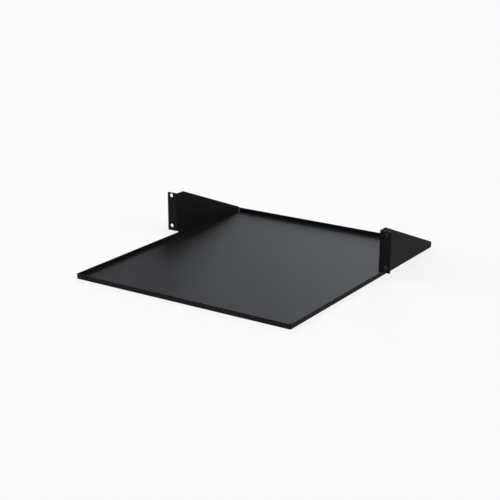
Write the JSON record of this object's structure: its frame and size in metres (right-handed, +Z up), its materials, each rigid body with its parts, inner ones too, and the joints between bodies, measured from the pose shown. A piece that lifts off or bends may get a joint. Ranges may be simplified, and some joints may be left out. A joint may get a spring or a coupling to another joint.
{
  "type": "rack mount shelf",
  "caption": "Mid-mount rack shelf folded from one steel sheet: a tray with low lips, side gussets that rise at the posts and ears folded outwards with rack holes.",
  "frame": {"origin": "under the middle of the tray: halfway across, halfway from front to back, at the underside", "axes": "+X across the rack, +Y from the tray's front edge to its rear edge, +Z up"},
  "size_m": [0.4826, 0.508, 0.0881],
  "materials": {
    "powder_coat": "matt black powder coat on folded mild steel sheet"
  },
  "bodies": {
    "root": {"folded_shelf": "powder_coat"}
  },
  "joints": []
}
